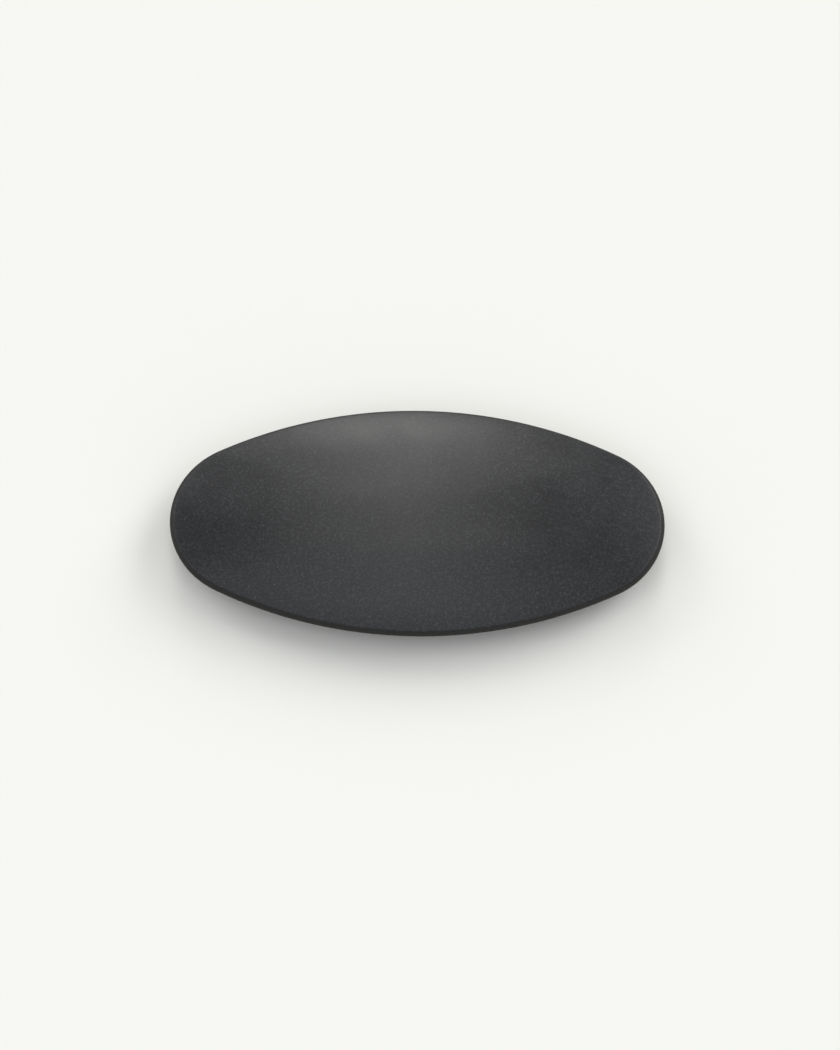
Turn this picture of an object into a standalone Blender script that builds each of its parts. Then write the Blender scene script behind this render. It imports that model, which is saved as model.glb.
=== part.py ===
# Basalt massage stone: one solid piece of honed stone with an elongated oval outline.
#
# The outline is an oval of two arcs, a long shallow one on each side and a small round one at
# each end, tangent where they meet. Cut across its rim, the stone is such an oval again: a
# shallow dome above, a shallow dome below, and a thin half-round rim that runs into both.
#
# Frame: origin under the middle of the stone, on the surface it rests on.
# +X runs along the length, +Y across the width and +Z up. All values are in metres.

import math

import bmesh
import bpy
from mathutils import Vector

# Driving dimensions
LENGTH = 0.120  # overall, along X
WIDTH = 0.060  # overall, along Y
END_RADIUS = 0.0206  # outline's arc round each end
RIM_RADIUS = 0.0016  # half-round rim between the two domes
TOP_RISE = 0.0080  # from the rim's mid-line up to the top
BASE_DROP = 0.0080  # from the rim's mid-line down to the resting face
REST_DEPTH = 0.0004  # taken off the lower dome to leave the flat that the stone rests on

# Steps of the mesh
SIDE_STEPS = 10  # in a quarter of the outline, along the side's arc
END_STEPS = 12  # in a quarter of the outline, round the end's arc
RIM_STEPS = 6  # from the rim's mid-line to the edge of a dome
DOME_STEPS = 7  # from the edge of a dome to its middle

BASALT_COLOR = (0.022, 0.023, 0.026, 1.0)
BASALT_ROUGHNESS = 0.35


def flank_radius(half_length, half_width, end_radius):
    """Radius of the shallow arc of a two-arc oval that has this size and these round ends."""
    reach = half_length - end_radius
    return (half_width**2 + reach**2 - end_radius**2) / (2 * (half_width - end_radius))


def rim_line(share):
    """A point of the rim's mid-line and its outward direction, from side (0) to end (1)."""
    reach = LENGTH / 2 - END_RADIUS
    side_radius = flank_radius(LENGTH / 2, WIDTH / 2, END_RADIUS)
    side_centre = WIDTH / 2 - side_radius
    meeting_turn = math.atan2(reach, -side_centre)
    side_share = SIDE_STEPS / (SIDE_STEPS + END_STEPS)
    if share <= side_share:
        turn = meeting_turn * share / side_share
        centre = Vector((0, side_centre))
        radius = side_radius - RIM_RADIUS
    else:
        turn = meeting_turn + (math.pi / 2 - meeting_turn) * (share - side_share) / (1 - side_share)
        centre = Vector((reach, 0))
        radius = END_RADIUS - RIM_RADIUS
    outward = Vector((math.sin(turn), math.cos(turn)))
    return centre + outward * radius, outward


def half_section(middle, outward, rise, flat_depth, step):
    """Place in plan of a ring this many steps from the rim's mid-line, and its distance from it."""
    support = middle.dot(outward)
    dome_rise = rise + flat_depth
    dome_radius = flank_radius(support + RIM_RADIUS, dome_rise, RIM_RADIUS)
    edge_tilt = math.asin(support / (dome_radius - RIM_RADIUS))
    if step <= RIM_STEPS:
        tilt = math.pi / 2 + (edge_tilt - math.pi / 2) * step / RIM_STEPS
        return middle + outward * RIM_RADIUS * math.sin(tilt), RIM_RADIUS * math.cos(tilt)
    flat_tilt = math.acos(1 - flat_depth / dome_radius)
    tilt = edge_tilt + (flat_tilt - edge_tilt) * (step - RIM_STEPS) / DOME_STEPS
    edge = middle + outward * RIM_RADIUS * math.sin(edge_tilt)
    plan = edge * math.sin(tilt) / math.sin(edge_tilt)
    return plan, dome_rise - dome_radius * (1 - math.cos(tilt))


def section_point(middle, outward, ring):
    """The stone's surface at this place round the rim and this ring, counted from the top."""
    step = DOME_STEPS + RIM_STEPS - ring
    if step >= 0:
        plan, rise = half_section(middle, outward, TOP_RISE, 0, step)
        return Vector((plan.x, plan.y, BASE_DROP + rise))
    plan, drop = half_section(middle, outward, BASE_DROP, REST_DEPTH, -step)
    return Vector((plan.x, plan.y, BASE_DROP - drop))


def basalt_material():
    material = bpy.data.materials.new("honed_basalt")
    material.use_nodes = True
    shader = material.node_tree.nodes["Principled BSDF"]
    shader.inputs["Base Color"].default_value = BASALT_COLOR
    shader.inputs["Roughness"].default_value = BASALT_ROUGHNESS
    shader.inputs["Metallic"].default_value = 0.0
    return material


def basalt_stone():
    """A sphere whose meridians and rings are drawn out to the stone's outline and section."""
    ring_count = 2 * (DOME_STEPS + RIM_STEPS) + 1
    shape = bmesh.new()
    bmesh.ops.create_uvsphere(
        shape,
        u_segments=4 * (SIDE_STEPS + END_STEPS),
        v_segments=ring_count,
        radius=1.0,
    )
    foot = min(shape.verts, key=lambda vertex: vertex.co.z)
    bmesh.ops.dissolve_verts(shape, verts=[foot])
    for vertex in shape.verts:
        across = abs(vertex.co.y)
        along = abs(vertex.co.x)
        around = math.atan2(along, across) / (math.pi / 2)
        ring = round(ring_count * math.atan2(math.hypot(along, across), vertex.co.z) / math.pi)
        place = section_point(*rim_line(around), ring)
        place.x = math.copysign(place.x, vertex.co.x)
        place.y = math.copysign(place.y, vertex.co.y)
        vertex.co = place
    mesh = bpy.data.meshes.new("basalt_stone")
    shape.to_mesh(mesh)
    shape.free()
    mesh.shade_smooth()
    mesh.materials.append(basalt_material())
    return bpy.data.objects.new("basalt_stone", mesh)


def build():
    for leftover in list(bpy.data.objects):
        bpy.data.objects.remove(leftover)
    collection = bpy.data.collections.new("basalt_massage_stone")
    bpy.context.scene.collection.children.link(collection)
    collection.objects.link(basalt_stone())


build()
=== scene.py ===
import math

import bmesh
import bpy
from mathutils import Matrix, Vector, noise


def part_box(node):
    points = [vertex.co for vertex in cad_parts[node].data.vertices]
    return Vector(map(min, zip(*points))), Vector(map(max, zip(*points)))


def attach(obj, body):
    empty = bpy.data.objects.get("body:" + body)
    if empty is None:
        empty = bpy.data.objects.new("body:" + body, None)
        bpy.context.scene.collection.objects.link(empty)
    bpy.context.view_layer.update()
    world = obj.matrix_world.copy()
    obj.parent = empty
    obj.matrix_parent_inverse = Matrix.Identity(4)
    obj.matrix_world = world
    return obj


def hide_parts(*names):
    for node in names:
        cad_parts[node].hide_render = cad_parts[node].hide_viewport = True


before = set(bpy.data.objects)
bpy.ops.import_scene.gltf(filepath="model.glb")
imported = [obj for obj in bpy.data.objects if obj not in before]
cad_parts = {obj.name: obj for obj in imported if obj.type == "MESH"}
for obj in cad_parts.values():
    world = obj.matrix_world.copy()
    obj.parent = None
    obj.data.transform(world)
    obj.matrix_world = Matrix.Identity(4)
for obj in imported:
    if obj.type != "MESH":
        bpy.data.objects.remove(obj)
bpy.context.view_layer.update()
lowCorner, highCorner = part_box("basalt_stone")
print("frame loaded:", [round(1000 * side, 2) for side in highCorner - lowCorner], "mm")

stone = {
    "endRadius": 0.0206,       # outline's arc round each end
    "rimRadius": 0.0016,       # half-round rim between the two domes
    "rimHeight": 0.0080,       # rim's mid-line above the table
    "restDepth": 0.0004,       # levelled off the lower dome, so that the stone lies still
    "sideSteps": 46,           # mesh steps in a quarter of the outline, along the side
    "endSteps": 46,            # and round the end
    "rimSteps": 18,            # from the rim's mid-line to the edge of a dome
    "domeSteps": 54,           # from the edge of a dome to its middle
    "rimSpread": 1.15,         # how far the rim's roughness and painted colour reach, as a share of its steps
    "unevenness": 0.00004,     # how far honing by hand leaves the surface off its curve
    "waveScale": 70,           # slow waves of that, per metre
    "rippleScale": 190,
    "rippleShare": 0.2,
    "levelHeight": 0.002,      # it dies away below this height, towards the table
}


def flankRadius(halfLength, halfWidth, endRadius):   # shallow arc of a two-arc oval
    reach = halfLength - endRadius
    return (halfWidth**2 + reach**2 - endRadius**2) / (2 * (halfWidth - endRadius))


def rimLine(share):   # point on the rim's mid-line and its outward direction, side 0 to end 1
    halfLength, halfWidth = highCorner.x, highCorner.y
    reach = halfLength - stone["endRadius"]
    sideRadius = flankRadius(halfLength, halfWidth, stone["endRadius"])
    meetingTurn = math.atan2(reach, sideRadius - halfWidth)
    sideShare = stone["sideSteps"] / (stone["sideSteps"] + stone["endSteps"])
    if share <= sideShare:
        turn = meetingTurn * share / sideShare
        centre, radius = Vector((0, halfWidth - sideRadius)), sideRadius
    else:
        turn = meetingTurn + (math.pi / 2 - meetingTurn) * (share - sideShare) / (1 - sideShare)
        centre, radius = Vector((reach, 0)), stone["endRadius"]
    outward = Vector((math.sin(turn), math.cos(turn)))
    return centre + outward * (radius - stone["rimRadius"]), outward


def halfSection(middle, outward, rise, flatDepth, step):   # from the rim's mid-line to a dome's middle
    rimRadius = stone["rimRadius"]
    support = middle.dot(outward)
    domeRise = rise + flatDepth
    domeRadius = flankRadius(support + rimRadius, domeRise, rimRadius)
    edgeTilt = math.asin(support / (domeRadius - rimRadius))
    if step <= stone["rimSteps"]:
        tilt = math.pi / 2 + (edgeTilt - math.pi / 2) * step / stone["rimSteps"]
        return middle + outward * rimRadius * math.sin(tilt), rimRadius * math.cos(tilt)
    flatTilt = math.acos(1 - flatDepth / domeRadius)
    tilt = edgeTilt + (flatTilt - edgeTilt) * (step - stone["rimSteps"]) / stone["domeSteps"]
    edge = middle + outward * rimRadius * math.sin(edgeTilt)
    return edge * math.sin(tilt) / math.sin(edgeTilt), domeRise - domeRadius * (1 - math.cos(tilt))


def stonePoint(around, ring):   # ring 0 is the top's middle; the last is the middle of the resting flat
    steps = stone["rimSteps"] + stone["domeSteps"]
    rimHeight = stone["rimHeight"]
    middle, outward = rimLine(around)
    if ring <= steps:
        plan, rise = halfSection(middle, outward, highCorner.z - rimHeight, 0, steps - ring)
        return Vector((plan.x, plan.y, rimHeight + rise))
    if ring <= 2 * steps:
        plan, drop = halfSection(middle, outward, rimHeight, stone["restDepth"], ring - steps)
        return Vector((plan.x, plan.y, rimHeight - drop))
    return Vector((0, 0, 0))


def honedByHand(shape):   # always inwards, so the stone keeps its size, and not where it rests
    shape.normal_update()
    moves = []
    for vert in shape.verts:
        wave = 0.5 + 0.5 * noise.noise(vert.co * stone["waveScale"])
        wave += stone["rippleShare"] * noise.noise(vert.co * stone["rippleScale"])
        levelled = min(1.0, vert.co.z / stone["levelHeight"])
        depth = stone["unevenness"] * max(0.0, min(1.0, wave)) * levelled
        moves.append(vert.normal * -depth)
    for vert, move in zip(shape.verts, moves):
        vert.co += move


def stoneMesh():   # a sphere whose rings are drawn out to the stone's outline and section
    ringCount = 2 * (stone["rimSteps"] + stone["domeSteps"]) + 1
    shape = bmesh.new()
    bmesh.ops.create_uvsphere(
        shape, u_segments=4 * (stone["sideSteps"] + stone["endSteps"]), v_segments=ringCount, radius=1.0
    )
    rimRoughAndPaint = shape.verts.layers.float.new("rimShare")   # 1 on the rim's mid-line, 0 on the faces; carries the rim's roughness and its painted colour
    for vert in shape.verts:
        along, across = abs(vert.co.x), abs(vert.co.y)
        ring = round(ringCount * math.atan2(math.hypot(along, across), vert.co.z) / math.pi)
        place = stonePoint(math.atan2(along, across) / (math.pi / 2), ring)
        inward = abs(ring - ringCount // 2)
        vert[rimRoughAndPaint] = max(0.0, min(1.0, stone["rimSpread"] - inward / stone["rimSteps"]))
        vert.co = (math.copysign(place.x, vert.co.x), math.copysign(place.y, vert.co.y), place.z)
    honedByHand(shape)
    mesh = bpy.data.meshes.new("honedStone")
    shape.to_mesh(mesh)
    shape.free()
    mesh.shade_smooth()
    return mesh


basaltLook = {
    "ground": (0.0028, 0.0031, 0.0037, 1.0),   # blue-black groundmass
    "pale": (0.0340, 0.0356, 0.0400, 1.0),     # grey crystals in it
    "rim": (0.0070, 0.0060, 0.0034, 1.0),      # painted reflection on the rim: darker and browner than the faces, for the dark line at the edge and the table's warm light mirrored there
    "fleck": (0.029, 0.029, 0.028, 1.0),       # a few larger crystals
    "grainScale": 3100,                # grains per metre
    "crystalScale": 1450,
    "grainShare": 0.62,                # of the mixture of grains and crystals
    "paleRange": (0.48, 0.74),         # where that mixture turns from ground to pale
    "cloudScale": 85,                  # slow change of tone over the face
    "cloudShade": (0.90, 1.10),
    "fleckScale": 620,
    "fleckShare": 0.09,                # of the cells that hold a larger crystal
    "fleckEdge": (0.10, 0.22),
    "roughness": (0.29, 0.35),
    "cloudShare": 0.8,                 # of the roughness that follows the clouds
    "paintedRimRange": (0.25, 0.60),     # where the rim's painted reflection comes in
    "rimColorShare": 0.8,
    "rimRoughRange": (0.15, 0.35),     # and its own roughness
    "rimRough": 0.40,                  # added where the rim is left unpolished
    "grainHeight": 0.000007,
    "specular": 0.5,
}


def addNode(tree, kind, values=None, **settings):   # a node with its sockets' values and its own settings
    made = tree.nodes.new(kind)
    for key, value in settings.items():
        setattr(made, key, value)
    for key, value in (values or {}).items():
        made.inputs[key].default_value = value
    return made


def noiseOf(tree, coords, scale, detail, rough):
    made = addNode(tree, "ShaderNodeTexNoise", {"Scale": scale, "Detail": detail, "Roughness": rough})
    tree.links.new(coords, made.inputs["Vector"])
    return made.outputs["Fac"]


def remapOf(tree, source, fromLow, fromHigh, toLow, toHigh):
    made = addNode(tree, "ShaderNodeMapRange", {
        "From Min": fromLow, "From Max": fromHigh, "To Min": toLow, "To Max": toHigh})
    tree.links.new(source, made.inputs["Value"])
    return made.outputs["Result"]


def mathOf(tree, operation, first, second):   # either side may be a socket or a number
    made = addNode(tree, "ShaderNodeMath", operation=operation)
    for place, value in enumerate((first, second)):
        if isinstance(value, (int, float)):
            made.inputs[place].default_value = value
        else:
            tree.links.new(value, made.inputs[place])
    return made.outputs[0]


def blendOf(tree, factor, first, second):   # colours; either may be a socket or four numbers
    made = addNode(tree, "ShaderNodeMix", data_type="RGBA")
    tree.links.new(factor, made.inputs[0])
    for socket, value in ((made.inputs[6], first), (made.inputs[7], second)):
        if isinstance(value, tuple):
            socket.default_value = value
        else:
            tree.links.new(value, socket)
    return made.outputs[2]


def weighOf(tree, first, second, share):   # two sources mixed, with this share of the first
    return mathOf(tree, "ADD", mathOf(tree, "MULTIPLY", first, share),
                  mathOf(tree, "MULTIPLY", second, 1.0 - share))


def fleckMask(tree, coords):   # 1 in the middle of the few cells that hold a larger crystal
    cells = addNode(tree, "ShaderNodeTexVoronoi", {"Scale": basaltLook["fleckScale"]})
    tree.links.new(coords, cells.inputs["Vector"])
    chance = addNode(tree, "ShaderNodeSeparateColor")
    tree.links.new(cells.outputs["Color"], chance.inputs[0])
    chosen = mathOf(tree, "LESS_THAN", chance.outputs[0], basaltLook["fleckShare"])
    core = remapOf(tree, cells.outputs["Distance"], *basaltLook["fleckEdge"], 1.0, 0.0)
    return mathOf(tree, "MULTIPLY", chosen, core)


def basaltMaterial():
    look = basaltLook
    material = bpy.data.materials.new("honedBasalt")
    material.use_nodes = True
    tree = material.node_tree
    shader = tree.nodes["Principled BSDF"]
    coords = addNode(tree, "ShaderNodeTexCoord").outputs["Object"]
    grain = noiseOf(tree, coords, look["grainScale"], 2.0, 0.65)
    crystals = noiseOf(tree, coords, look["crystalScale"], 1.0, 0.5)
    clouds = noiseOf(tree, coords, look["cloudScale"], 4.0, 0.6)
    onRim = addNode(tree, "ShaderNodeAttribute", attribute_name="rimShare").outputs["Fac"]

    mixed = weighOf(tree, grain, crystals, look["grainShare"])
    tone = remapOf(tree, mixed, *look["paleRange"], 0.0, 1.0)
    color = blendOf(tree, tone, look["ground"], look["pale"])
    # painted reflection on the rim: a darker, browner colour mixed in towards its mid-line
    rimColor = remapOf(tree, onRim, *look["paintedRimRange"], 0.0, look["rimColorShare"])
    color = blendOf(tree, rimColor, color, look["rim"])
    shaded = addNode(tree, "ShaderNodeVectorMath", operation="SCALE")
    tree.links.new(color, shaded.inputs[0])
    tree.links.new(remapOf(tree, clouds, 0.30, 0.70, *look["cloudShade"]), shaded.inputs["Scale"])
    color = blendOf(tree, fleckMask(tree, coords), shaded.outputs[0], look["fleck"])
    tree.links.new(color, shader.inputs["Base Color"])

    blotches = weighOf(tree, clouds, crystals, look["cloudShare"])
    rough = remapOf(tree, blotches, 0.35, 0.65, *look["roughness"])
    rimRough = remapOf(tree, onRim, *look["rimRoughRange"], 0.0, look["rimRough"])
    tree.links.new(mathOf(tree, "ADD", rough, rimRough), shader.inputs["Roughness"])
    shader.inputs["Specular IOR Level"].default_value = look["specular"]

    bump = addNode(tree, "ShaderNodeBump", {"Strength": 1.0, "Distance": look["grainHeight"]})
    tree.links.new(mixed, bump.inputs["Height"])
    tree.links.new(bump.outputs["Normal"], shader.inputs["Normal"])
    return material


honedStone = bpy.data.objects.new("honed_stone", stoneMesh())
bpy.context.scene.collection.objects.link(honedStone)
honedStone.data.materials.append(basaltMaterial())
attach(honedStone, "root")
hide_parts("basalt_stone")
print("stone:", len(honedStone.data.polygons), "faces")

table = {"halfSize": 3.0, "color": (0.787, 0.788, 0.741, 1.0)}


def tableTop():
    shape = bmesh.new()
    bmesh.ops.create_grid(shape, x_segments=8, y_segments=8, size=table["halfSize"])
    mesh = bpy.data.meshes.new("tableTop")
    shape.to_mesh(mesh)
    shape.free()
    top = bpy.data.objects.new("table_top", mesh)
    bpy.context.scene.collection.objects.link(top)
    material = bpy.data.materials.new("paleTable")
    material.use_nodes = True
    shader = material.node_tree.nodes["Principled BSDF"]
    shader.inputs["Base Color"].default_value = table["color"]
    shader.inputs["Roughness"].default_value = 1.0
    shader.inputs["Specular IOR Level"].default_value = 0.0
    mesh.materials.append(material)
    return top


tableTop()

warm, plain, cool = (1.008, 1.001, 0.966), (1.0, 1.0, 1.0), (0.985, 1.0, 1.045)

lights = {   # azimuth 0 is straight behind the stone, positive to the viewer's right
    "backLeft": {"azimuth": -48, "elevation": 26, "spread": 30, "strength": 0.72, "color": plain},
    "backRight": {"azimuth": 48, "elevation": 26, "spread": 30, "strength": 1.10, "color": plain},
    "sideRight": {"azimuth": 72, "elevation": 42, "spread": 30, "strength": 0.50, "color": plain},
    "sideLeft": {"azimuth": -104, "elevation": 34, "spread": 60, "strength": 0.29, "color": cool},
    "frontLeft": {"azimuth": -145, "elevation": 58, "spread": 60, "strength": 0.30, "color": cool},
    "frontRight": {"azimuth": 145, "elevation": 34, "spread": 60, "strength": 0.40, "color": cool},
    "frontTop": {"azimuth": 180, "elevation": 80, "spread": 30, "strength": 0.20, "color": cool},
    "stripFoot": {"azimuth": -3, "elevation": 22, "spread": 18, "strength": 0.355, "color": warm},
    "stripLow": {"azimuth": 0, "elevation": 38, "spread": 18, "strength": 0.20, "color": warm},
    "stripHigh": {"azimuth": -6, "elevation": 54, "spread": 20, "strength": 0.23, "color": warm},
    "stripTop": {"azimuth": -6, "elevation": 75, "spread": 24, "strength": 0.225, "color": warm},
}


def softSun(name, azimuth, elevation, spread, strength, color):
    light = bpy.data.lights.new(name, "SUN")
    light.energy = strength
    light.angle = math.radians(spread)
    light.color = color
    lamp = bpy.data.objects.new(name, light)
    turn, lift = math.radians(azimuth), math.radians(elevation)
    toward = Vector((math.sin(turn) * math.cos(lift), math.cos(turn) * math.cos(lift), math.sin(lift)))
    lamp.rotation_euler = toward.to_track_quat("Z", "Y").to_euler()
    bpy.context.scene.collection.objects.link(lamp)


for name, values in lights.items():
    softSun(name, **values)
print("table and", len(lights), "soft lights")


studio = {
    "fill": 0.35,                            # dim light from all round
    "backdrop": (0.93, 0.94, 0.90, 1.0),     # seen only where the viewer looks past the table
}


def studioWorld():
    world = bpy.data.worlds.new("studio")
    world.use_nodes = True
    tree = world.node_tree
    dim = tree.nodes["Background"]
    dim.inputs["Color"].default_value = (*cool, 1.0)
    dim.inputs["Strength"].default_value = studio["fill"]
    pale = addNode(tree, "ShaderNodeBackground", {"Color": studio["backdrop"], "Strength": 1.0})
    seen = addNode(tree, "ShaderNodeLightPath").outputs["Is Camera Ray"]
    either = addNode(tree, "ShaderNodeMixShader")
    tree.links.new(seen, either.inputs[0])
    tree.links.new(dim.outputs[0], either.inputs[1])
    tree.links.new(pale.outputs[0], either.inputs[2])
    tree.links.new(either.outputs[0], tree.nodes["World Output"].inputs["Surface"])
    return world


bpy.context.scene.world = studioWorld()

shot = {
    "azimuth": 0.69,        # degrees to the right of straight in front
    "elevation": 65.1,      # degrees above the table
    "distance": 1.1,
    "lens": 155.6,
    "shiftX": 0.00267,
    "shiftY": -0.00248,
}


def photoCamera():
    camera = bpy.data.cameras.new("camera")
    camera.lens = shot["lens"]
    camera.sensor_width = 36.0
    camera.shift_x = shot["shiftX"]
    camera.shift_y = shot["shiftY"]
    camera.clip_start = 0.05
    eye = bpy.data.objects.new("camera", camera)
    turn, lift = math.radians(shot["azimuth"]), math.radians(shot["elevation"])
    toward = Vector((math.sin(turn) * math.cos(lift), -math.cos(turn) * math.cos(lift), math.sin(lift)))
    eye.location = Vector((0, 0, stone["rimHeight"])) + toward * shot["distance"]
    eye.rotation_euler = toward.to_track_quat("Z", "Y").to_euler()
    bpy.context.scene.collection.objects.link(eye)
    return eye


bpy.context.scene.camera = photoCamera()
bpy.context.scene.view_settings.view_transform = "Standard"
print("camera:", shot["elevation"], "degrees above the table")
